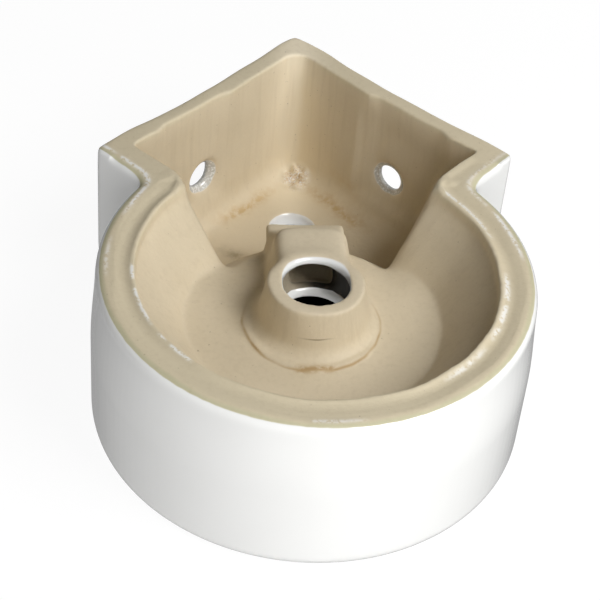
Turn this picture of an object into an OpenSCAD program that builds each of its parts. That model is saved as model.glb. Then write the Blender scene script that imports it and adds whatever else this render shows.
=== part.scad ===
// Corner wall-hung basin in vitreous china, a hollow casting with a round front and two back
// walls that meet at a right angle. It hangs in the corner of a room on two bolts.
// Millimetres, +Z up as it hangs. The origin is in the room corner, level with the deck's top.
// Around the bowl's axis the modules also use a corner frame: its x axis stands square to the
// right wall and its y axis square to the left wall.

/* [Drum] */
// Outer diameter of the round front
drum_d = 300; // [290:1:330]
// Height from the bottom edge to the top of the deck
height = 126; // [120:1:150]
// Thickness of the round outer shell
apron_wall = 8; // [6:0.5:10]
// Rounding of the glazed edge at the bottom of the shell
edge_round = 6; // [3:0.5:6]

/* [Deck] */
// Thickness of the deck
deck_t = 13; // [10:0.5:15]
// Rounding of the deck's top outer edge
deck_round = 7; // [2:0.5:8]

/* [Corner] */
// From the drum's side to the face of each wall
wall_gap = 40; // [32:1:60]
// How far each wall's outer end stays inside the drum's side, seen from the front
end_tuck = 2.9; // [0:0.1:6]
// Thickness of the end walls
end_wall = 23; // [20:0.5:28]
// Thickness of the back walls
back_wall = 15; // [12:0.5:18]
// Rounding of the back walls' outer ends
arm_round = 4; // [1:0.5:7]
// Rounding in the notch between the drum and each end face
notch_round = 10; // [4:0.5:14]
// Rounding of the upright inside corner
corner_round = 12; // [4:0.5:18]
// Cove between the back walls and the underside of the deck
cove = 16; // [6:1:20]

/* [Back panels] */
// From the room corner to the near edge of each sunk panel
panel_from = 88; // [80:1:92]
// Width of the sunk panel at its face
panel_w = 72; // [60:1:80]
// Depth of the sunk panel
panel_depth = 3; // [1:0.5:5]
// Width of the panel's sloping sides
panel_slope = 9; // [2:1:12]
// Height of the panel above the bottom edge
panel_h = 92; // [85:1:96]

/* [Bowl] */
// Width of the deck's edge between the bowl's opening and the drum's outside
deck_edge = 24; // [20:1:30]
// Depth of the bowl from the deck's top to the edge of its floor
bowl_depth = 66; // [60:1:70]
// How far the bowl's side leans in, from its opening to its floor
bowl_lean = 46; // [40:1:52]
// Thickness of the bowl's side
bowl_wall = 10; // [8:0.5:11]
// Thickness of the bowl's floor at its edge
bowl_floor_t = 13; // [10:0.5:15]
// Fall of the floor towards the waste hole
bowl_fall = 13; // [10:0.5:14]
// Thickness of the floor round the waste hole
waste_t = 8.5; // [7:0.5:10]
// Rounding inside, between the side and the floor
bowl_round = 26; // [15:1:32]
// Rounding outside, between the side and the floor
bowl_back_round = 10; // [4:1:14]
// Rounding of the opening's edge
lip_round = 10; // [4:0.5:12]
// Width of the bowl's top edge, which the deck goes round
bowl_edge = 10; // [8:0.5:12]

/* [Foot rim] */
// Width of the raw foot rim and its glazed edge together
rim_w = 29; // [24:0.5:32]
// Height of the solid foot rim
rim_h = 8; // [6:0.5:10]
// Width of the channel along the foot rim
channel_w = 13; // [8:0.5:15]
// Depth of the channel
channel_depth = 1.5; // [0.5:0.1:2.5]
// How far the channel stops short of the back walls
channel_stop = 6; // [2:1:12]

/* [Inner lining] */
// How far the lining leans in, from the foot rim to the level of the bowl's underside
lining_lean = 33; // [28:1:36]
// Thickness of the lining
lining_wall = 9; // [7:0.5:11]
// Thickness of the two webs that close the hollow drum
web_wall = 10; // [7:0.5:14]

/* [Waste outlet] */
// Diameter of the waste hole
waste_d = 45; // [40:0.5:48]
// How far the outlet's face lies above the bottom edge
outlet_up = 12; // [6:1:16]
// Diameter of the outlet's face
outlet_d = 66; // [62:1:74]
// Thickness of the plate round the hole
outlet_plate = 8; // [6:0.5:10]
// Inner diameter of the overflow chamber
chamber_d = 54; // [50:1:57]
// Widening of the outlet's side towards its foot
outlet_draft = 4; // [2:0.5:6]
// Radius of the sweep where the outlet meets the bowl
outlet_sweep = 12; // [6:1:14]
// Width of the flat ring on which the outlet's foot stands, outside the floor's hub
foot_ring = 7; // [5:0.5:9]

/* [Overflow] */
// Width of the duct on its lower face
duct_w = 48; // [44:1:56]
// Widening of each side of the duct towards the bowl
duct_draft = 6; // [2:0.5:8]
// How far the duct's face lies above the outlet's face
duct_step = 2; // [1:0.5:5]
// From the bowl's axis to the back edge of the duct's face
duct_reach = 61; // [56:1:70]
// Thickness of the duct's walls
duct_wall = 7; // [5:0.5:8]
// Width of the riser behind the bowl
riser_w = 52; // [44:1:56]
// Clear width of the passage inside duct and riser
passage_w = 32; // [24:1:34]
// Clear depth of the riser's passage
passage_depth = 7; // [5:0.5:8]
// Diameter of the overflow hole in the bowl
overflow_d = 20; // [14:0.5:24]
// Depth of the overflow hole's centre below the deck's top
overflow_down = 28; // [24:1:34]

/* [Tap and fixings] */
// Diameter of the tap hole
tap_d = 35; // [28:0.5:38]
// From the room corner to the tap hole's centre, along the diagonal
tap_from = 95; // [90:1:104]
// Diameter of the fixing holes
fixing_d = 26; // [12:0.5:30]
// From the room corner to each fixing hole, along the wall
fixing_along = 110; // [104:1:120]
// Height of the fixing holes above the bottom edge
fixing_up = 72; // [64:1:80]

/* [Hidden] */
drum_r = drum_d / 2;
shell_r = drum_r - apron_wall;
// From the bowl's axis to the face of each wall
wall_reach = drum_r + wall_gap;
// How far each end face stands in front of the bowl's axis
end_past = (drum_r - end_tuck) * sqrt(2) - wall_reach;
axis_back = wall_reach * sqrt(2);
rim_r = drum_r - rim_w;
rim_top = rim_h - height;
lining_r = rim_r - lining_lean;
bowl_r = drum_r - deck_edge;
bowl_floor_r = bowl_r - bowl_lean;
bowl_hole_r = bowl_r + bowl_edge;
floor_z = -bowl_depth - bowl_floor_t;
pocket = end_wall - end_past;
inner_reach = wall_reach - back_wall;
// Slope of the bowl's side, and what its thickness measures on the level
bowl_slope = atan(bowl_depth / bowl_lean);
bowl_out = bowl_wall / sin(bowl_slope);
// Slope of the lining, and what its thickness measures on the level
lining_slope = atan((floor_z - rim_top) / lining_lean);
lining_out = lining_wall / sin(lining_slope);
face_z = outlet_up - height;
duct_z = face_z + duct_step;
foot_r = outlet_d / 2 + outlet_draft + outlet_sweep;
chamber_z = face_z + outlet_plate;
hub_z = -bowl_depth - bowl_fall - waste_t;
hub_r = foot_r - foot_ring;
// Where the riser's cover ends at the level of the bowl's underside
riser_out = (passage_depth + duct_wall) / sin(bowl_slope);
riser_foot = side_r(floor_z) + riser_out;
tap_y = axis_back - tap_from;
// Degrees by which the notch's feather edge against the drum is cut back
notch_blunt = 0.7;
far = 400;
eps = 0.02;
$fn = 96;
glaze = "white";
clay = [0.80, 0.72, 0.59];

// Radius of the bowl's outer side at a level z
function side_r(z) = bowl_r + bowl_out + z / tan(bowl_slope);

module at_axis() { translate([0, -axis_back, 0]) children(); }
module corner_frame() { rotate(45) children(); }
module left_side() { mirror([1, 0, 0]) children(); }

// What is left of a square corner, from the origin to [r, r], outside a rounding of radius r
module spandrel(r) {
    difference() {
        translate([-eps, -eps]) square(r + eps);
        translate([r, r]) circle(r);
    }
}

// The quarter behind the bowl's axis, from an offset in front of both planes
module rear_quarter(from) {
    corner_frame() translate([from, from, -far / 2]) cube(far);
}

// What a rounding takes off the corner between a floor and a sloping side, as seen in section
module floor_corner(floor_r, depth, slope, round_r) {
    tangent = round_r * tan(slope / 2);
    centre = [floor_r - tangent, -depth + round_r];
    side = [sin(slope), -cos(slope)];
    difference() {
        polygon([
            centre, [centre[0], -depth - 1], [floor_r + tan(slope / 2), -depth - 1],
            centre + side * (round_r + 1)
        ]);
        translate(centre) circle(round_r);
    }
}

// Section of a cup that stands open at the top: a sloping side, a floor and a round between
module cup(top_r, floor_r, depth, round_r) {
    difference() {
        polygon([[0, 0], [top_r, 0], [floor_r, -depth], [0, -depth]]);
        floor_corner(floor_r, depth, atan(depth / (top_r - floor_r)), round_r);
    }
}

module bowl_outside() { cup(side_r(0), side_r(floor_z), -floor_z, bowl_back_round); }

// Rounding of the bowl's edge, as the section that is cut away
module lip_cut() {
    tangent = lip_round * tan(bowl_slope / 2);
    difference() {
        polygon([
            [bowl_r - eps, eps], [bowl_r + tangent, eps], [bowl_r + tangent, -lip_round],
            [bowl_r - tangent * cos(bowl_slope), -tangent * sin(bowl_slope)]
        ]);
        translate([bowl_r + tangent, -lip_round]) circle(lip_round);
    }
}

module plan() {
    circle(drum_r);
    corner_frame() translate([-end_past, -end_past]) square(wall_reach + end_past);
}

// An upright block under the deck in the corner frame, down to the bottom edge
module below_deck() { translate([0, 0, -height]) linear_extrude(height - deck_t) children(); }

// The channel along the foot rim, as the round that is cut from below
channel_r = (pow(channel_w / 2, 2) + pow(channel_depth, 2)) / (2 * channel_depth);
channel_z = -height + channel_depth - channel_r;
rim_mid = (rim_r + drum_r - edge_round) / 2;
end_mid = (pocket - end_past + edge_round) / 2;

// The passage that leads water from the overflow hole down behind the bowl
module riser_passage() {
    intersection() {
        rotate_extrude() difference() {
            polygon([
                [side_r(floor_z) - eps, floor_z - eps],
                [side_r(floor_z) + passage_depth / sin(bowl_slope), floor_z - eps],
                [side_r(-deck_t) + passage_depth / sin(bowl_slope), -deck_t - duct_wall],
                [side_r(-deck_t) - eps, -deck_t - duct_wall]
            ]);
            bowl_outside();
        }
        translate([-passage_w / 2, 0, -height]) cube([passage_w, far, height]);
    }
}

// Side view of the duct, from the bowl's axis to the foot of the riser
module duct_side(inset) {
    polygon([
        [0, floor_z], [0, duct_z + inset], [duct_reach - inset * 0.6, duct_z + inset],
        [riser_foot - inset * 1.25, floor_z]
    ]);
}

// Front view of the duct
module duct_front(inset) {
    half = duct_w / 2 - inset;
    polygon([
        [-half, duct_z - eps], [half, duct_z - eps],
        [half + duct_draft, floor_z], [-half - duct_draft, floor_z]
    ]);
}

// The outlet's outer form
module outlet_body() {
    top = outlet_d / 2 + outlet_draft;
    bend = floor_z - outlet_sweep;
    rotate_extrude() difference() {
        polygon([
            [0, face_z], [outlet_d / 2, face_z], [top, bend], [foot_r, bend],
            [foot_r, floor_z], [0, floor_z]
        ]);
        translate([foot_r, bend]) circle(outlet_sweep);
    }
}

module duct_hollow() {
    intersection() {
        rotate([90, 0, 90]) linear_extrude(far, center = true) duct_side(duct_wall);
        translate([-passage_w / 2, 0, -height]) cube([passage_w, far, height]);
    }
}

module overflow_hole() {
    translate([0, bowl_floor_r, -overflow_down]) rotate([-90, 0, 0])
        cylinder(d = overflow_d, h = side_r(-overflow_down) + bowl_wall / 2 - bowl_floor_r);
}

// The deck: a flat plate over the whole plan, with the bowl's opening and the tap hole
module deck() {
    color(glaze) at_axis() difference() {
        translate([0, 0, -deck_t]) linear_extrude(deck_t) plan();
        translate([0, 0, -deck_t - 1]) cylinder(r = bowl_hole_r, h = deck_t + 2);
        translate([0, tap_y, -deck_t - 1]) cylinder(d = tap_d, h = deck_t + 2);
        difference() {
            rotate_extrude() translate([drum_r, 0]) rotate(180) spandrel(deck_round);
            rear_quarter(-end_past);
        }
        end_edges() mirror([0, 1]) spandrel(deck_round);
    }
}

// Sweeps a section along the top outer edges of both end faces
module end_edges() {
    for (side = [0, 1]) mirror([side, 0, 0]) corner_frame()
        translate([sqrt(pow(drum_r, 2) - pow(end_past, 2)), -end_past, 0])
            rotate([90, 0, 90]) linear_extrude(wall_reach) children();
}

// The hub: where the falling floor stands out below the rest of the bowl's underside
module hub() {
    rotate_extrude()
        polygon([[0, floor_z], [hub_r, floor_z], [chamber_d / 2, hub_z], [0, hub_z]]);
}

// The bowl: a round dish with a floor that falls to the waste hole, and the overflow hole
module bowl() {
    color(glaze) at_axis() difference() {
        rotate_extrude() difference() {
            polygon([
                [0, 0], [bowl_hole_r, 0], [bowl_hole_r, -deck_t], [side_r(-deck_t), -deck_t],
                [side_r(floor_z), floor_z], [hub_r, floor_z], [chamber_d / 2, hub_z], [0, hub_z]
            ]);
            floor_corner(side_r(floor_z), -floor_z, bowl_slope, bowl_back_round);
            cup(bowl_r, bowl_floor_r, bowl_depth, bowl_round);
            polygon([
                [0, eps - bowl_depth], [bowl_floor_r - bowl_round, eps - bowl_depth],
                [waste_d / 2, -bowl_depth - bowl_fall], [0, -bowl_depth - bowl_fall]
            ]);
            lip_cut();
        }
        translate([0, 0, -height]) cylinder(d = waste_d, h = height);
        overflow_hole();
    }
}

// The round outer shell, open behind, with its glazed bottom edge
module front_apron() {
    color(glaze) at_axis() difference() {
        rotate_extrude() difference() {
            translate([shell_r, -height]) square([apron_wall, height - deck_t]);
            translate([drum_r, -height]) mirror([1, 0]) spandrel(edge_round);
        }
        rear_quarter(-end_past);
    }
}

// The raw foot rim inside the shell's bottom edge, with a shallow channel along it
module foot_rim() {
    color(clay) at_axis() difference() {
        rotate_extrude() difference() {
            translate([rim_r, -height]) square([shell_r - rim_r, rim_h]);
            translate([rim_mid, channel_z]) circle(channel_r);
        }
        rear_quarter(pocket);
    }
}

// The sloping lining that closes the hollow drum on the inside
module inner_lining() {
    color(clay) at_axis() difference() {
        rotate_extrude() difference() {
            polygon([
                [rim_r, rim_top], [rim_r + lining_out, rim_top],
                [lining_r + lining_out - bowl_depth / tan(lining_slope), floor_z + bowl_depth],
                [outlet_d / 2 + outlet_sweep * 2, floor_z + bowl_depth],
                [outlet_d / 2 + outlet_sweep * 2, floor_z], [lining_r, floor_z]
            ]);
            bowl_outside();
            translate([0, floor_z]) square([side_r(floor_z) - bowl_back_round, far]);
        }
        rear_quarter(pocket);
    }
}

// What lies inside the back of the lining, for the webs that stand against it
module inside_lining() {
    polygon([
        [0, rim_top - eps], [rim_r + lining_out, rim_top - eps], [rim_r + lining_out, rim_top],
        [lining_r + lining_out, floor_z],
        [lining_r + lining_out - bowl_wall / tan(lining_slope), floor_z + bowl_wall],
        [0, floor_z + bowl_wall]
    ]);
    bowl_outside();
}

// The web that closes the hollow drum behind, flush with the end wall's inner face
module right_web() {
    color(clay) at_axis() difference() {
        intersection() {
            corner_frame() translate([0, pocket - web_wall, rim_top])
                cube([far, web_wall, height - rim_h - deck_t]);
            translate([0, 0, -height]) cylinder(r = shell_r, h = height);
        }
        rotate_extrude() inside_lining();
    }
}

module left_web() { color(clay) left_side() right_web(); }

// The end wall between the drum and the back wall, with the rounded notch
module right_end_wall() {
    notch_x = sqrt(pow(drum_r + notch_round, 2) - pow(end_past + notch_round, 2));
    notch = [notch_x, -end_past - notch_round];
    blunt = atan2(notch[1], notch[0]) + notch_blunt;
    color(clay) at_axis() difference() {
        corner_frame() difference() {
            below_deck() difference() {
                polygon([
                    [0, pocket], [inner_reach, pocket], [inner_reach, -end_past],
                    [notch_x, -end_past], notch, [cos(blunt), sin(blunt)] * drum_r,
                    [0, -end_past]
                ]);
                translate(notch) circle(notch_round);
            }
            intersection() {
                translate([0, 0, -height - 1]) cylinder(r = drum_r, h = height + 2);
                translate([0, -end_past - far, -height - 1]) cube([far, far, height + 2]);
            }
            translate([notch_x, -end_past, -height])
                rotate([90, 0, 90]) linear_extrude(far) spandrel(edge_round);
            translate([notch[0], notch[1], -height])
                rotate_extrude() translate([notch_round, 0]) spandrel(edge_round);
            translate([rim_mid, end_mid, channel_z]) rotate([0, 90, 0])
                cylinder(r = channel_r, h = inner_reach - channel_stop - rim_mid);
        }
        translate([0, 0, -height - 1]) cylinder(r = shell_r, h = height + 2);
    }
}

module left_end_wall() { color(clay) left_side() right_end_wall(); }

// A back wall, mitred at the room corner, with its sunk panel, its cove and its fixing hole
module right_back_wall() {
    near = wall_reach - panel_from;
    color(clay) at_axis() corner_frame() difference() {
        union() {
            below_deck() difference() {
                polygon([
                    [inner_reach, -end_past], [wall_reach, -end_past],
                    [wall_reach, wall_reach], [inner_reach, inner_reach]
                ]);
                translate([wall_reach, -end_past]) mirror([1, 0]) spandrel(arm_round);
            }
            below_deck() intersection() {
                translate([inner_reach, inner_reach]) rotate(180) spandrel(corner_round);
                polygon([[0, 0], [far, 0], [far, far]]);
            }
            intersection() {
                translate([inner_reach, far, -deck_t]) rotate([90, 0, 0])
                    linear_extrude(far - pocket) rotate(180) spandrel(cove);
                translate([0, 0, -height]) linear_extrude(height - deck_t)
                    polygon([[0, 0], [far, 0], [far, far]]);
            }
        }
        translate([0, 0, -height - 1]) linear_extrude(panel_h + 1) polygon([
            [inner_reach - cove, near], [inner_reach, near],
            [inner_reach + panel_depth, near - panel_slope],
            [inner_reach + panel_depth, near - panel_w + panel_slope],
            [inner_reach, near - panel_w], [inner_reach - cove, near - panel_w]
        ]);
        translate([inner_reach - cove, wall_reach - fixing_along, fixing_up - height])
            rotate([0, 90, 0]) cylinder(d = fixing_d, h = back_wall + cove + 1);
    }
}

module left_back_wall() { color(clay) left_side() right_back_wall(); }

// The waste outlet: a hollow boss under the bowl with the lower hole in its plate
module waste_outlet() {
    color(clay) at_axis() difference() {
        outlet_body();
        hub();
        translate([0, 0, -height]) cylinder(d = waste_d, h = height);
        translate([0, 0, chamber_z]) cylinder(d = chamber_d, h = hub_z - chamber_z + eps);
        duct_hollow();
    }
}

// The overflow duct behind the outlet
module overflow_duct() {
    color(clay) at_axis() difference() {
        intersection() {
            rotate([90, 0, 90]) linear_extrude(far, center = true) duct_side(0);
            rotate([90, 0, 180]) linear_extrude(far) duct_front(0);
        }
        outlet_body();
        duct_hollow();
    }
}

// The riser up the back of the bowl, from the duct to the overflow hole
module overflow_riser() {
    color(clay) at_axis() difference() {
        intersection() {
            rotate_extrude() difference() {
                polygon([
                    [side_r(floor_z), floor_z], [riser_foot, floor_z],
                    [side_r(-deck_t) + riser_out, -deck_t], [side_r(-deck_t), -deck_t]
                ]);
                bowl_outside();
            }
            translate([-riser_w / 2, 0, -height]) cube([riser_w, far, height]);
        }
        riser_passage();
        overflow_hole();
    }
}

deck();
bowl();
front_apron();
foot_rim();
inner_lining();
left_end_wall();
right_end_wall();
left_web();
right_web();
left_back_wall();
right_back_wall();
waste_outlet();
overflow_duct();
overflow_riser();
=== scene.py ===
"""A corner wash basin of white-glazed vitreous china, seen on its raw underside."""

import math

import bmesh
import bpy
import numpy as np
from mathutils import Matrix, Vector


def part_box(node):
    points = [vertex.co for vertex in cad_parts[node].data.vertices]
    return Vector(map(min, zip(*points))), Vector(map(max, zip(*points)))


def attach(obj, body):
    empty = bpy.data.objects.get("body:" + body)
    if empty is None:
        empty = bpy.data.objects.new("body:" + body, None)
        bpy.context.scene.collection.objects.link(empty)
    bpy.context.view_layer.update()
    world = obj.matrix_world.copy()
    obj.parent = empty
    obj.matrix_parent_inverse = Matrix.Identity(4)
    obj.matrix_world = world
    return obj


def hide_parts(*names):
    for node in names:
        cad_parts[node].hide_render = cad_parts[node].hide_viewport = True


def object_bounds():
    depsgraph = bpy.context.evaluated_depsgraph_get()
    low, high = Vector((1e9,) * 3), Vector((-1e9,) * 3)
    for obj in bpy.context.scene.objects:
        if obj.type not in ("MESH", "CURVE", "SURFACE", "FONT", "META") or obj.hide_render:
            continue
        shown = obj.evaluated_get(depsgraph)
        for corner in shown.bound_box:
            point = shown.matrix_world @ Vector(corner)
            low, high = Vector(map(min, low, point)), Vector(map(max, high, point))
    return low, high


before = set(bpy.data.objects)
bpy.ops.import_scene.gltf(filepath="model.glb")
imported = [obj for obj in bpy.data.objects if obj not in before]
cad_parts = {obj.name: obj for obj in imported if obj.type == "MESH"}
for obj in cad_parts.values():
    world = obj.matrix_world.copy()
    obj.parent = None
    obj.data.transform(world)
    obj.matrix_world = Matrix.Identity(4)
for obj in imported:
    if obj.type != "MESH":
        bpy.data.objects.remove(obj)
cad_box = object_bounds()

# The view of the photograph. The basin lies upside down on its deck, so the camera stands below
# the hanging basin and in front of it, and its picture is turned the same way up as the basin lies.
MM = 0.001
shell_low, shell_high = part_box("front_apron")
deck_low, deck_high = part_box("deck")
bowl_low, bowl_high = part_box("bowl")
axis_y = (bowl_low.y + bowl_high.y) / 2
foot = Vector((0, axis_y, shell_low.z))
CAMERA_FROM_FOOT = Vector((118.6, -888.9, -787.0))
PAN, TILT, ROLL = 0.1215, 0.739, 0.0927
ahead = Vector((-math.sin(PAN) * math.cos(TILT), math.cos(PAN) * math.cos(TILT), math.sin(TILT)))
level = Vector((-math.cos(PAN), -math.sin(PAN), 0))
above = level.cross(ahead)
right = level * math.cos(ROLL) + above * math.sin(ROLL)
up = above * math.cos(ROLL) - level * math.sin(ROLL)

camera = bpy.data.objects.new("camera", bpy.data.cameras.new("camera"))
camera.data.lens = 108.36
camera.data.sensor_width = 36
camera.matrix_world = Matrix.Translation(foot + CAMERA_FROM_FOOT * MM) @ Matrix(
    (right, up, -ahead)
).transposed().to_4x4()
bpy.context.scene.collection.objects.link(camera)
bpy.context.scene.camera = camera
bpy.context.scene.view_settings.view_transform = "Standard"


# Shader maths as plain expressions. A Wire is a socket that a node gives out; working with wires
# adds Math, Vector Math or Mix nodes, and node() adds any other node with its settings and inputs.
class Wire:
    def __init__(self, tree, socket):
        self.tree, self.socket = tree, socket

    def node(self, kind, settings=(), output=0, **inputs):
        made = self.tree.nodes.new("ShaderNode" + kind)
        for name, value in dict(settings).items():
            setattr(made, name, value)
        for name, value in inputs.items():
            target = made.inputs[int(name[1:]) if name[1:].isdigit() else name.replace("_", " ")]
            if isinstance(value, Wire):
                self.tree.links.new(value.socket, target)
            else:
                target.default_value = value
        return Wire(self.tree, made.outputs[output])

    def math(self, operation, other=0.0, third=0.0):
        return self.node("Math", {"operation": operation}, i0=self, i1=other, i2=third)

    def __rsub__(self, other):
        return self.node("Math", {"operation": "SUBTRACT"}, i0=other, i1=self)

    def __add__(self, other): return self.math("ADD", other)
    def __radd__(self, other): return self.math("ADD", other)
    def __sub__(self, other): return self.math("SUBTRACT", other)
    def __mul__(self, other): return self.math("MULTIPLY", other)
    def __rmul__(self, other): return self.math("MULTIPLY", other)
    def __truediv__(self, other): return self.math("DIVIDE", other)
    def __pow__(self, other): return self.math("POWER", other)
    def __neg__(self): return self.math("MULTIPLY", -1.0)
    def high(self, other): return self.math("MAXIMUM", other)


# The white table that the basin lies on in the photograph. Only a camera below the basin sees it:
# all other rays pass, so that lamps above still light the deck. Most of its white is its own, and
# the lamps give the rest, so that it keeps a faint shadow. It is dark where it closes the bowl.
TABLE_SIZE = 3
OWN_WHITE = 0.93
LIT_WHITE = 0.1
bowl_hole_r = bowl_high.x


def material(name, surface):
    made = bpy.data.materials.new(name)
    made.use_nodes = True
    tree = made.node_tree
    tree.nodes.clear()
    out = tree.nodes.new("ShaderNodeOutputMaterial")
    tree.links.new(surface(Wire(tree, None)).socket, out.inputs["Surface"])
    return made


def table_surface(start):
    place = start.node("TexCoord", output=3)
    from_axis = start.node("VectorMath", {"operation": "LENGTH"}, 1, i0=place)
    # Inside the bowl's opening the table is painted black, as painted shade
    white = from_axis.math("GREATER_THAN", bowl_hole_r)
    seen = start.node("LightPath") * (1 - start.node("NewGeometry", output=6))
    glow = start.node("Emission", Color=(1, 1, 1, 1), Strength=white * OWN_WHITE)
    cover = start.node("BsdfDiffuse", Color=white * LIT_WHITE)
    top = start.node("AddShader", i0=glow, i1=cover)
    return start.node("MixShader", i0=seen, i1=start.node("BsdfTransparent"), i2=top)


bpy.ops.mesh.primitive_plane_add(
    size=TABLE_SIZE, location=(0, axis_y, deck_high.z), rotation=(math.pi, 0, 0)
)
table = bpy.context.object
table.name = "table"
table.data.materials.append(material("table_white", table_surface))

# Soft studio light. The key lamp stands high to the camera's right, with weaker ones in front and
# behind; the three low ones give the light that the white table throws back at the drum, and the
# last two light the side that lies on the table.
LAMP_SIZE = 1.0
SKY_IN_GLAZE = 0.35
SKY_LIGHT = 0.02
for name, place, watts in (
    ("key", (-0.9, -0.7, -1.3), 28),
    ("front", (0, -1.7, -0.5), 8.5),
    ("back", (-1.1, 0.9, -0.9), 4),
    ("low_right", (-1.5, -0.9, 0.3), 7.5),
    ("low_front", (0, -1.7, 0.3), 7),
    ("low_left", (1.5, -0.9, 0.3), 10),
    ("top", (-0.4, -0.9, 1.4), 7),
    ("behind", (-0.6, 1.3, 0.9), 12),
):
    lamp = bpy.data.objects.new(name, bpy.data.lights.new(name, "AREA"))
    lamp.data.size = LAMP_SIZE
    lamp.data.energy = watts
    lamp.location = foot + Vector(place)
    lamp.rotation_euler = (-Vector(place)).to_track_quat("-Z", "Y").to_euler()
    lamp.visible_glossy = name == "key"
    bpy.context.scene.collection.objects.link(lamp)

world = bpy.data.worlds.new("studio")
bpy.context.scene.world = world
world.use_nodes = True
world.node_tree.nodes.clear()
air = Wire(world.node_tree, None)
seen = air.node("LightPath").high(air.node("LightPath", output=6))
mirrored = air.node("LightPath", output=3)
sky = air.node(
    "Background", Color=(1, 1, 1, 1), Strength=seen.high(mirrored * SKY_IN_GLAZE).high(SKY_LIGHT)
)
shown = world.node_tree.nodes.new("ShaderNodeOutputWorld")
world.node_tree.links.new(sky.socket, shown.inputs["Surface"])


# The fired body. Slip is cast in plaster, the wet members are luted together, and the whole is
# sponged round, glazed and fired once. So the members are first merged into one skin, which gets
# its soft edges and its warps, and the skin is then parted again along the joints.
# From here on sizes are in millimetres, from the bowl's axis and from the top of the deck.
GRAIN = 1.5
ASLANT = math.sqrt(0.5)
DRUM_R = shell_high.x / MM
HEIGHT = -shell_low.z / MM
DECK_T = -deck_low.z / MM
REACH = -axis_y / MM * ASLANT  # the axis to the face of either back
END_PAST = 18.03  # the axis to the outside of an arm, away from the corner
POCKET = 4.97  # the axis to the front of the tap's pocket, towards the corner
RIM_R = 121
UNDER = -79.0  # the underside of the bowl's floor
LINING_R, LINING_RUN, LINING_H = 88, 33, 39
BOWL_SIDE_R = 138.19  # the bowl's outside, if it went on up to the top of the deck
LEAN_IN = 0.697
NOTCH_R = 10
NOTCH_AT = (157.5, -28)
BOLT_ALONG = REACH - 110
BOLT_Z = 72 - HEIGHT


def linked(name, mesh):
    made = bpy.data.objects.new(name, mesh)
    bpy.context.scene.collection.objects.link(made)
    return made


def worked(body, name):
    """A new object with what the body's modifiers make of it."""
    graph = bpy.context.evaluated_depsgraph_get()
    return linked(name, bpy.data.meshes.new_from_object(body.evaluated_get(graph)))


def solid(name, made):
    bmesh.ops.triangulate(made, faces=made.faces)
    bmesh.ops.recalc_face_normals(made, faces=made.faces)
    mesh = bpy.data.meshes.new(name)
    made.to_mesh(mesh)
    made.free()
    return linked(name, mesh)


def pushed(name, plan, bottom, top, side=1):
    """A plan pushed up. Its points are given by how far they lie towards the back on the +X side,
    or on the -X side where side is -1, and how far along that back towards the corner."""
    made = bmesh.new()
    floor = made.faces.new([
        made.verts.new((
            side * (out - on) * ASLANT * MM, axis_y + (out + on) * ASLANT * MM, bottom * MM,
        ))
        for out, on in plan
    ])
    raised = bmesh.ops.extrude_face_region(made, geom=[floor])["geom"]
    raised = [part for part in raised if isinstance(part, bmesh.types.BMVert)]
    bmesh.ops.translate(made, vec=(0, 0, (top - bottom) * MM), verts=raised)
    return solid(name, made)


members = bmesh.new()
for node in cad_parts.values():
    members.from_mesh(node.data)
# The round inner turn of each notch goes on up through the deck's thickness
turns = [math.radians(90 + step * 10) for step in range(9)]
notch_turn = [
    (NOTCH_AT[0] + NOTCH_R * math.cos(turn), NOTCH_AT[1] + NOTCH_R * math.sin(turn))
    for turn in turns
] + [(140, -14)]
for side in (-1, 1):
    filler = pushed("filler", notch_turn, -20, -5, side)
    members.from_mesh(filler.data)
    bpy.data.objects.remove(filler)
bmesh.ops.remove_doubles(members, verts=members.verts, dist=MM / 1000)
merged = linked("merged", bpy.data.meshes.new("merged"))
members.to_mesh(merged.data)
members.free()
voxels = merged.modifiers.new("voxels", "REMESH")
voxels.mode = "VOXEL"
voxels.voxel_size = GRAIN * MM
whole = worked(merged, "whole")
bpy.data.objects.remove(merged)

# The skin's points, and how they are joined
axis = (0, axis_y / MM, 0)
skin = np.empty(len(whole.data.vertices) * 3)
whole.data.vertices.foreach_get("co", skin)
skin = skin.reshape(-1, 3) / MM - axis
ends = np.empty(len(whole.data.edges) * 2, int)
whole.data.edges.foreach_get("vertices", ends)
tail, head = ends.reshape(-1, 2).T
neighbours = np.bincount(tail, minlength=len(skin)) + np.bincount(head, minlength=len(skin))


def rise(value, start, end):
    """From 0 at the start to 1 at the end, softly."""
    share = np.clip((value - start) / (end - start), 0, 1)
    return share * share * (3 - 2 * share)


def fall(value, start, end):
    return 1 - rise(value, start, end)


def hump(value, centre, width):
    return np.exp(-(((value - centre) / width) ** 2))


def softer(a, b, reach):
    """The smaller of two fields, with a rounded change from one to the other."""
    near = np.clip(reach - np.abs(a - b), 0, None) / reach
    return np.minimum(a, b) - near ** 2 * reach / 4


def places():
    """Each point's x, y and z, its distance from the axis, and how far it lies towards the back
    on its own side and along that back towards the corner."""
    x, y, z = skin.T
    return x, y, z, np.hypot(x, y), (y + np.abs(x)) * ASLANT, (y - np.abs(x)) * ASLANT


def shift(to_back=0.0, to_corner=0.0):
    """Moves each point towards the back on its own side, and along it towards the corner."""
    skin[:, 0] += np.sign(skin[:, 0]) * (to_back - to_corner) * ASLANT
    skin[:, 1] += (to_back + to_corner) * ASLANT


def spread(outward):
    """Moves each point away from the axis."""
    from_axis = np.hypot(skin[:, 0], skin[:, 1])
    skin[:, :2] *= (1 + outward / np.maximum(from_axis, 1))[:, None]


def sponge(rounds, where=1.0):
    """Draws every point towards the middle of its neighbours, by a share that may vary."""
    share = 0.6 * np.broadcast_to(where, len(skin))[:, None]
    for _ in range(rounds):
        total = [
            np.bincount(tail, values[head], len(skin)) + np.bincount(head, values[tail], len(skin))
            for values in skin.T
        ]
        skin[:] += share * (np.transpose(total) / neighbours[:, None] - skin)


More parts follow.
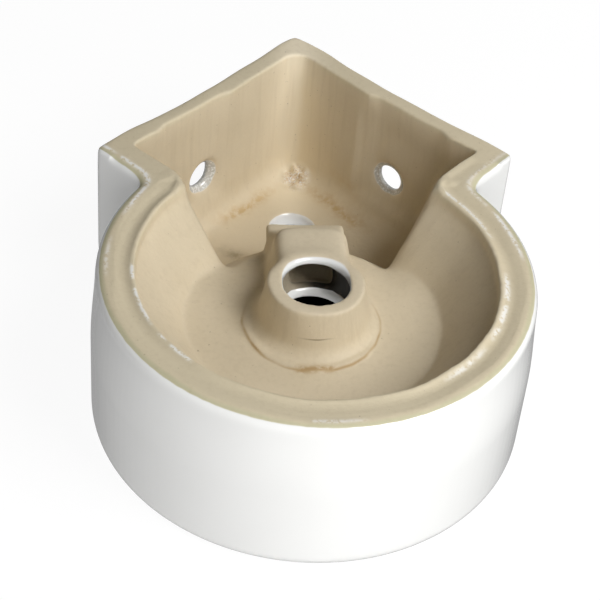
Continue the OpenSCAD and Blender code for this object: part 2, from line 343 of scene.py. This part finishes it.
def ripple(seed, length, count=24):
    """A smooth field over the skin, about one high, with waves of about that length."""
    random = np.random.default_rng(seed)
    ways = random.normal(size=(count, 3))
    ways /= np.linalg.norm(ways, axis=1)[:, None]
    ways *= 2 * math.pi / length * random.uniform(0.6, 1.4, (count, 1))
    waves = np.sin(skin @ ways.T + random.uniform(0, 2 * math.pi, count))
    return waves.sum(1) / math.sqrt(count / 2)


sponge(5)

# Where members are luted on, the sponge goes deeper: over the duct, in the pocket's corners, at
# the webs' edges and along the inner edge of the foot rim
x, y, z, r, across, along = places()
duct = rise(y, 4, 26) * fall(np.abs(x), 36, 46) * fall(r, 78, 92) * rise(-z, 81, 90)
pocket = rise(along, -4, 12) * rise(r, 84, 104) * rise(-z, 13.5, 17) * fall(-z, 114, 121)
shoulder = hump(r, RIM_R + 1, 10) * rise(-z, 96, 112) * hump(along, POCKET, 14)
sponge(40, np.clip(duct + 0.7 * pocket + shoulder, 0, 1))

# The foot rim rises to a crest at either side of its channel, which is deepest near its inner
# side. The rim runs round the drum and on along both arms, with rounded turns.
x, y, z, r, across, along = places()
outer = -softer(r - DRUM_R, -along - END_PAST, 16)
inner = softer(r - RIM_R, POCKET - along, 18)
middle = np.clip(outer / np.maximum(outer + inner, 1), 0, 1)
dip = 1.5 + 0.7 * rise(-x, 20, 110) - 0.6 * rise(-y / r, 0.7, 1)
dip *= rise(middle, 0.25, 0.66) * fall(middle, 0.7, 0.93) * (1 - 0.6 * rise(across, 128, 150))
from_groove = np.minimum(np.abs(DRUM_R - r - 17.5), np.abs(along + 3.5)) / 6.5
dip -= 1.3 * np.clip(1 - from_groove ** 2, 0, 1)
dip *= rise(-z, HEIGHT - 6, HEIGHT - 3) * fall(across, REACH - 28, REACH - 16)
skin[:, 2] += dip * rise(inner, -2, 1) * rise(outer, 3, 6)

# The edge where the lining turns into the pocket is rounded well off
x, y, z, r, across, along = places()
lining = r - LINING_R - np.clip(UNDER - z, 0, LINING_H) * LINING_RUN / LINING_H
apart = POCKET - along
sharp = np.minimum(lining, apart)
back = (sharp - softer(lining, apart, 20)) * fall(sharp, 3, 9)
back *= rise(-z, 76, 86) * rise(sharp, -6, -3)
share = np.clip(0.5 + (lining - apart) / 40, 0, 1)
spread(back * (1 - share))
shift(to_corner=-back * share)
sponge(14, hump(lining, 0, 9) * hump(apart, 0, 9) * rise(-z, 76, 86))

# The bowl's back edge is rounder than its front, and drops into the pocket at both corners
x, y, z, r, across, along = places()
below = UNDER - z
outward = (r - BOWL_SIDE_R - z * LEAN_IN) * 0.82
edge = hump(np.minimum(below, 0), 0, 26) * hump(np.minimum(outward, 0), 0, 20)
edge *= rise(np.maximum(below, outward), -4, -1) * rise(along, -30, 0)
edge *= rise(r, 56, 74) * fall(r, 92, 100) * rise(-z, 40, 60)
spread(-3.2 * edge)
skin[:, 2] += 3.6 * edge
x, y, z, r, across, along = places()
drop = hump(r, 87, 9) * hump(along, POCKET, 8) * rise(-z, 66, 74)
skin[:, 2] += 4.5 * drop * fall(-z, 84, 96)
sponge(10, np.clip(edge + drop, 0, 1))


# The outlet's foot stands on a low flange of the slip that lutes it on, not quite round
def flange_r(x, y, r):
    return 46.4 + (x * 1.45 - y * 3.7) / r


x, y, z, r, across, along = places()
ragged = flange_r(x, y, np.maximum(r, 1)) + 0.5 * ripple(13, 22)
flange = UNDER - (1.5 + 0.2 * ripple(17, 20)) * fall(r, ragged - 1.6, ragged + 1.2)
on_floor = rise(r, 34, 38) * fall(r, 52, 54) * fall(y, -2, 20) * (z < UNDER + 3)
skin[:, 2] += np.minimum(flange - z, 0) * on_floor

# Crumbs of dry slip have stuck in the upright corner, where it meets the deck
near = np.linalg.norm(skin - (-6, 231, -16), axis=1)
lump = fall(near, 6, 14) * (z < -DECK_T + 1)
crumbs = 3.0 + 1.6 * ripple(23, 9) + 0.5 * ripple(29, 6)
skin[:, 1] -= crumbs * lump * 0.8
skin[:, 2] -= crumbs * lump * 0.6

# The bolt holes narrow towards the wall
NARROWED = 0.2
x, y, z, r, across, along = places()
bolt_along, bolt_z = along - BOLT_ALONG, z - BOLT_Z
in_hole = (np.hypot(bolt_along, bolt_z) < 15.5) * rise(across, REACH - 11, REACH - 5)
skin[:, 2] -= NARROWED * bolt_z * in_hole
shift(to_corner=-NARROWED * bolt_along * in_hole)

# A sunk panel round each bolt hole, with a soft step towards the corner
from_corner = REACH - along
panel = (1.4 - 0.9 * np.sign(x)) * rise(from_corner, 78, 86)
panel *= fall(from_corner + 0.28 * (z + 54), 144, 152)
panel *= rise(across, REACH - 18, REACH - 14) * fall(across, REACH - 9, REACH - 6)
panel *= rise(-z, 24, 36) * fall(-z, HEIGHT - 34, HEIGHT - 6)
shift(to_back=panel)

# The feet of the arms' tips are rubbed round
tip = hump(across, REACH, 14) * hump(along, -END_PAST, 12) * rise(-z, HEIGHT - 16, HEIGHT - 2)
sponge(4, tip * (0.4 + 0.6 * (x > 0)))

# Firing warps it: the shell leans in towards its foot, and the backs bow and lean out, most of all
# at the arms. Their upright corner is rubbed round.
spread(-3.4 * rise(r, 112, 144) * fall(r, 151, 163) * rise(-z, HEIGHT - 62, HEIGHT))
x, y, z, r, across, along = places()
from_corner = REACH - along
bow = 1.7 - 2.2 * hump(from_corner, 98, 46)
bow += np.where(x > 0, 2.3 * rise(from_corner, 130, 186), 2.2 * rise(from_corner, 148, 192))
shift(to_back=bow * rise(across, REACH - 34, REACH - 12) * rise(-z, 0, 40))
corner = hump(x, 0, 12) * fall(from_corner, 4, 20) * rise(-z, 10, 40)
sponge(8, corner * rise(across, REACH - 12, REACH - 6))

# Nothing made by hand is quite even
x, y, z, r, across, along = places()
rough = rise(-z, DECK_T, DECK_T + 6) * (1 - rise(r, 138, 142) * fall(along, -16, 0))
skin[:, 2] += 0.22 * ripple(3, 60) * rough
skin[:, 0] += 0.25 * ripple(5, 45) * rough
skin[:, 1] += 0.25 * ripple(7, 45) * rough

low, high = (np.array(corner) / MM - axis for corner in cad_box)
np.clip(skin, low, high, out=skin)
whole.data.vertices.foreach_set("co", ((skin + axis) * MM).ravel())
whole.data.update()


# Vitreous china: a white glaze, and where the basin isn't glazed the bare fired body, which is
# a dull beige. The glaze stops along a line near the bottom edge and inside the holes, and the
# two backs, which meet the walls, are left bare up to the deck.
HUB = -87.5  # the underside of the waste hole's hub
FLOOR_R, FLOOR_FALL = 54.0, 0.4127
INSIDE_R = 129.0
TAP_Y = REACH / ASLANT - 95
WASTE_R = 22.5
# Where painted highlights lie on the rim's crests, on flecks of glaze: a direction and half its
# spread, in degrees
INNER_HIGHLIGHT_FLECKS = (23, 24), (135, 7), (164, 14), (210, 13)
OUTER_HIGHLIGHT_FLECKS = (-35, 11), (-4, 4), (90, 5), (198, 12), (216, 4)


def srgb(*levels):
    return (*(((level / 255 + 0.055) / 1.055) ** 2.4 for level in levels), 1)


GLAZE, GLAZE_PALE = srgb(240, 240, 238), srgb(246, 246, 244)
GLAZE_FILM_HIGHLIGHT, GRIT = srgb(250, 249, 245), srgb(176, 172, 158)
CLAY, CLAY_PALE = srgb(209, 195, 167), srgb(223, 209, 182)
CLAY_SPECK, CLAY_PIT = srgb(200, 184, 155), srgb(140, 122, 94)
CLAY_RIM, CLAY_GREEN = srgb(210, 199, 170), srgb(190, 186, 153)
PAINTED_CORNER_LIGHT, CLAY_STROKE = srgb(240, 227, 200), srgb(172, 154, 122)
SCUM, CREASE_SHADE = srgb(164, 130, 74), srgb(120, 100, 68)
STREAK, DIRT, CHAMBER_SHADE = srgb(186, 152, 94), srgb(128, 112, 78), srgb(22, 18, 14)
CRUMB, CRUMB_HIGHLIGHT = srgb(206, 178, 138), srgb(255, 253, 249)


def china_surface(start):
    place = start.node("TexCoord", output=3)
    x, y, z = (place.node("SeparateXYZ", output=part, i0=place) / MM for part in range(3))
    y = y - axis_y / MM

    def grain(size, detail=2.0, stretch=(1, 1, 1), seed=0.0):
        moved = place.node("VectorMath", {"operation": "MULTIPLY"}, i0=place, i1=stretch)
        moved = place.node(
            "VectorMath", {"operation": "ADD"}, i0=moved, i1=(seed, seed * 0.7, -seed)
        )
        return place.node("TexNoise", Vector=moved, Scale=1000 / size, Detail=detail)

    def over(value, limit, soft=1.0):
        """One where the value is over the limit, with a change that wide."""
        return place.node("Math", {"operation": "MULTIPLY_ADD", "use_clamp": True},
                          i0=value - limit, i1=1 / soft, i2=0.5)

    def under(value, limit, soft=1.0):
        return 1 - over(value, limit, soft)

    def blend(share, base, top):
        return place.node("Mix", {"data_type": "RGBA"}, 2, i0=share, i6=base, i7=top)

    def span(u, v):
        return (u * u + v * v) ** 0.5

    def bell(value, centre, width):
        apart = (value - centre) / width
        return place.node("Math", {"operation": "POWER"}, i0=math.e, i1=-(apart * apart))

    def facing(turn, half):
        """One within half that angle of a direction: 0 is +X, 90 the front."""
        way = x * math.cos(math.radians(turn)) - y * math.sin(math.radians(turn))
        return over(way / r, math.cos(math.radians(half)), 0.02)

    def highlight_flecks(windows):
        shown = facing(*windows[0])
        for window in windows[1:]:
            shown = shown.high(facing(*window))
        return shown

    r = span(x, y)
    aside = x.math("ABSOLUTE")
    across = (y + aside) * ASLANT
    along = (y - aside) * ASLANT
    uneven = grain(7, 3) - 0.5
    wavy = grain(22, 1, seed=3.1) - 0.5

    # Depth behind the line where the glaze stops, from the round shell and from the two arms
    behind_shell = (DRUM_R - 6.0) - r
    behind_arm = along + END_PAST - 2.4
    behind = behind_shell.math("SMOOTH_MAX", behind_arm, 25.0) + uneven * 0.7
    outside = under(behind, 0, 0.5)
    top = over(z, -DECK_T / 2, 0.6)
    side = over(INSIDE_R + z * LEAN_IN - r, 0, 0.6)
    floor = over(z + (FLOOR_R - r).high(0.0) * FLOOR_FALL, UNDER + 6.5, 0.6)
    plate = under(r, WASTE_R + 4.5, 0.4) * over(-z, 105.4 + wavy * 5, 0.3)
    plate = plate * under(-z, 113.3, 0.3).high(under(r, WASTE_R + 0.6, 0.3))
    drain = under(r, WASTE_R + 2.2, 0.4) * under(-z, -HUB - 0.2, 0.4)
    tap = under(span(x, y - TAP_Y), 18.6 + uneven * 0.8, 0.5)
    from_bolt = span(along - BOLT_ALONG, z - BOLT_Z)
    bolt = under(from_bolt, 14.0 + uneven * 2, 0.8) * over(across, REACH - 22)
    glazed = outside.high(top).high(side * floor).high(plate).high(drain).high(tap).high(bolt)

    # The bare body: cloudy, and a little greener near the glaze
    rim = over(-z, HEIGHT - 5, 3)
    clay = blend(grain(40, 3), CLAY, CLAY_PALE)
    clay = blend(grain(2.2, 4, seed=5.0) * 0.4, clay, CLAY_SPECK)
    clay = blend(rim * 0.5, clay, CLAY_RIM)
    clay = blend(under(behind, 2.5 + wavy * 3, 2.5) * rim * 0.8, clay, CLAY_GREEN)

    # Brown scum has gathered along the flange, and a crease under the outlet is painted dark as
    # painted shade
    off_flange = r - flange_r(x, y, r)
    ring = bell(off_flange, wavy * 4, 0.9) * over(grain(24, 2, seed=1.3), 0.4, 0.3)
    smear = bell(off_flange, wavy * 6 - 0.6, 2.6) * facing(88, 15)
    ring = ring.high(smear * over(grain(5, 3, seed=2.9), 0.42, 0.2))
    clay = blend(ring * over(-y, -6, 26) * over(-z, -UNDER - 3) * 0.8, clay, SCUM)
    # Painted shade: a dark line along the crease under the outlet
    crease_shade = bell(z + 94.5 + wavy * 3, 0, 0.5) * bell(x - 1, 0, 8) * over(-y, 20)
    clay = blend(crease_shade * 0.8, clay, CREASE_SHADE)

    # In the pocket there is a streak along the backs' feet and dirt; the upright corner is painted
    # paler as painted light, and crumbs lie there, speckled with painted highlights
    streak = bell(across + z * 0.3, REACH - 31.5 + wavy * 14, 5) * over(along, 84 + wavy * 60, 30)
    streak = streak * over(-z, DECK_T) * under(-z, 34, 12) * over(grain(4, 3, seed=2.2), 0.42, 0.3)
    clay = blend(streak * 0.7, clay, STREAK)
    dirt = bell(span((x - 45) * 0.6, y - 141 - (x - 45) * 0.5), 0, 7)
    clay = blend(dirt * over(grain(6, 3, seed=7.7), 0.42, 0.4) * 0.6, clay, DIRT)
    # Painted light: the clay in the upright corner is made paler
    clay = blend(bell(x + 1, 0, 18) * over(y, 196, 40), clay, PAINTED_CORNER_LIGHT)
    crumbs = under(span(x + 6, span(y - 230, z + 17)), 9, 7)
    # The crumbs are lumps in the skin; their white speckle is a painted highlight
    crumb_and_highlight = blend(over(grain(1.8, 1, seed=2.0), 0.5, 0.3), CRUMB, CRUMB_HIGHLIGHT)
    clay = blend(crumbs * over(grain(2.5, 2, seed=9.0), 0.45, 0.1), clay, crumb_and_highlight)

    # The overflow's chamber and passage are painted dark as painted shade, darkest towards -X, and
    # pits are all over
    chamber = under(r, 29.5) * over(-z, -HUB + 0.2, 0.4) * under(-z, 112.6, 0.4)
    passage = under(aside, 20) * over(y, 16) * under(y, 66) * over(-z, 84) * under(-z, 105.5, 0.5)
    clay = blend(chamber.high(passage) * (0.55 + 0.43 * over(-x, -5, 14)), clay, CHAMBER_SHADE)
    pits = under(grain(2.6, 2, seed=8.0), 0.25, 0.03)
    clay = blend(pits * 0.5, clay, CLAY_PIT)

    # The sponged crests of the foot rim have taken a film of glaze, broken by pinholes, which is
    # glossier; it is also painted near-white there as a painted highlight
    on_left = over(-x, 20, 60)
    inner_crest = bell(r, 122.6 + 3.2 * on_left, 1.2 + 0.5 * on_left) * under(along, 2, 4)
    outer_crest = bell(behind, 4.4 + wavy * 2, 1.4)
    crests = (inner_crest * highlight_flecks(INNER_HIGHLIGHT_FLECKS)).high(outer_crest * highlight_flecks(OUTER_HIGHLIGHT_FLECKS))
    film_and_highlight = crests * rim * over(grain(14, 1, seed=4.4), 0.4, 0.1)
    film_and_highlight = film_and_highlight * over(grain(2.2, 3, seed=6.0), 0.43, 0.12)
    # The near-white of the glaze film is a painted highlight
    clay = blend(film_and_highlight * 0.9, clay, GLAZE_FILM_HIGHLIGHT)

    # The sponge has left upright strokes, and grit has stuck to the glaze in the bolt holes
    strokes = grain(4, 2, stretch=(1, 1, 0.06), seed=1.9)
    clay = blend((strokes - 0.5) * 0.5 * over(-z, DECK_T + 8), clay, CLAY_STROKE)
    height = grain(1.6, 3, seed=7.0) * 0.5 + strokes * 1.2 - pits * 0.6
    glaze = blend(grain(60, 1), GLAZE, GLAZE_PALE)
    grit = bolt * (1 - outside) * over(grain(1.6, 2, seed=3.3), 0.42, 0.15)
    glaze = blend(grit * 0.6, glaze, GRIT)
    dull = (grain(3, 2) - 0.5) * 0.1 * (1 - glazed)
    return place.node(
        "BsdfPrincipled",
        Base_Color=blend(glazed, clay, glaze),
        Roughness=0.62 - film_and_highlight * 0.4 - glazed * 0.55 + dull,
        Coat_Weight=glazed.high(film_and_highlight * 0.5),
        Coat_Roughness=0.05,
        Normal=place.node("Bump", Strength=0.3 * (1 - glazed), Distance=0.0006, Height=height),
    )


china = material("fired_china", china_surface)

# The body is parted along its joints. A cutter is a profile turned about the bowl's axis, or a
# plan pushed up. Where a member's face is bare, its cutter stands off it by a little, so as to take
# all of it.
SPARE = 0.8
ABOVE, BELOW = 20, -150
BEYOND = 300
SHELL_R = 142
RIM_Z = -118
WALL_REACH = REACH - 15
WEB_FACE = POCKET + 1.5
whole.data.shade_smooth()
rest = linked("rest", whole.data.copy())


def turned(name, profile, steps=144):
    made = bmesh.new()
    rings = []
    for step in range(steps):
        turn = 2 * math.pi * step / steps
        rings.append([
            made.verts.new((out * math.sin(turn) * MM, axis_y - out * math.cos(turn) * MM, up * MM))
            for out, up in profile
        ])
    for ring, following in zip(rings, rings[1:] + rings[:1]):
        for at in range(len(profile)):
            then = (at + 1) % len(profile)
            made.faces.new((ring[at], following[at], following[then], ring[then]))
    bmesh.ops.remove_doubles(made, verts=made.verts, dist=MM / 1000)
    return solid(name, made)


def cut(body, cutter, operation, name):
    joint = body.modifiers.new("joint", "BOOLEAN")
    joint.operation = operation
    joint.solver = "MANIFOLD"
    joint.object = cutter
    made = worked(body, name)
    body.modifiers.clear()
    return made


def take(node, cutter):
    """Parts one member from the rest of the body along its joint, and dresses it."""
    global rest
    parted = cut(rest, cutter, "INTERSECT", node + "_parted")
    left = cut(rest, cutter, "DIFFERENCE", "rest")
    bpy.data.objects.remove(rest)
    bpy.data.objects.remove(cutter)
    rest = left
    parted.data.shade_smooth()
    normals = parted.modifiers.new("skin", "DATA_TRANSFER")
    normals.object = whole
    normals.use_loop_data = True
    normals.data_types_loops = {"CUSTOM_NORMAL"}
    normals.loop_mapping = "POLYINTERP_NEAREST"
    piece = worked(parted, node + "_fired")
    bpy.data.objects.remove(parted)
    piece.data.materials.clear()
    piece.data.materials.append(china)
    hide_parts(node)
    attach(piece, "root")


# The bowl: a round dish cast on its own and luted in under the deck, glazed inside.
BOWL_HOLE_R = 136
side_r = BOWL_SIDE_R + SPARE
take("bowl", turned("bowl_joint", [
    (0, ABOVE), (BOWL_HOLE_R, ABOVE), (BOWL_HOLE_R, -DECK_T),
    (side_r - DECK_T * LEAN_IN, -DECK_T), (side_r + UNDER * LEAN_IN, UNDER - SPARE),
    (42, UNDER - SPARE), (27, HUB - SPARE), (0, HUB - SPARE),
]))

# The deck: the flat top of the basin, glazed above and on its edge, bare below.
deck_under = -DECK_T - SPARE
take("deck", turned("deck_joint", [
    (0, ABOVE), (BEYOND, ABOVE), (BEYOND, deck_under), (0, deck_under),
]))

# The waste outlet: a hollow boss luted under the bowl, with the lower hole in its plate.
take("waste_outlet", turned("outlet_joint", [
    (0, UNDER), (50, UNDER), (50, -80), (44, -82.5), (39.5, -88), (38.5, -91), (34.5, BELOW),
    (0, BELOW),
]))

# The overflow duct: a box that is open at its back, luted between the outlet and the riser.
duct_plan = [(-36, 36), (36, -36), (100, 28), (28, 100)]
take("overflow_duct", pushed("duct_joint", duct_plan, BELOW, UNDER))

# The riser: a flat box up the back of the bowl, which leads water down from the overflow hole.
riser_plan = [(10, 60), (60, 10), (140, 90), (90, 140)]
take("overflow_riser", pushed("riser_joint", riser_plan, -90, 0))

# The foot rim: the solid ring on which the basin stood in the kiln, left bare.
take("foot_rim", turned("rim_joint", [
    (105, BELOW), (SHELL_R, BELOW), (SHELL_R, RIM_Z), (105, RIM_Z),
]))

# The inner lining: the sloping wall that closes the hollow drum on the inside.
take("inner_lining", turned("lining_joint", [(0, RIM_Z), (132.8, RIM_Z), (43.9, -13), (0, -13)]))


def arc(radius, start, end, count):
    """A round line about the axis, by how far along the back its points lie."""
    return [(math.sqrt(radius ** 2 - on * on), on) for on in np.linspace(start, end, count)]


# The end walls: they join the drum to the back walls, with a round notch outside.
end_plan = arc(SHELL_R, WEB_FACE, -END_PAST, 9) + arc(150.3, -END_PAST, -34, 6)
end_plan += [(WALL_REACH, -34), (WALL_REACH, WEB_FACE)]
for side, name in ((-1, "left"), (1, "right")):
    take(name + "_end_wall", pushed("end_joint", end_plan, BELOW, 0, side))

# The webs: upright walls that close the hollow drum behind.
web_plan = [(0, -5), (150, -5), (150, WEB_FACE), (0, WEB_FACE)]
for side, name in ((-1, "left"), (1, "right")):
    take(name + "_web", pushed("web_joint", web_plan, RIM_Z, 0, side))

# The back walls: they meet at the room corner, each with a sunk panel and a hole for its bolt.
back_plan = [
    (WEB_FACE, WEB_FACE), (WALL_REACH, WEB_FACE), (WALL_REACH, -40),
    (BEYOND, -40), (BEYOND, BEYOND),
]
for side, name in ((-1, "left"), (1, "right")):
    take(name + "_back_wall", pushed("back_joint", back_plan, BELOW, 0, side))

# The apron: the round outer shell, glazed down to its foot.
take("front_apron", turned("apron_joint", [
    (SHELL_R, BELOW), (165, BELOW), (165, 0), (SHELL_R, 0),
]))

# What is left filled the hollow between the apron, the bowl and the lining, which is closed
bpy.data.objects.remove(rest)
bpy.data.objects.remove(whole)
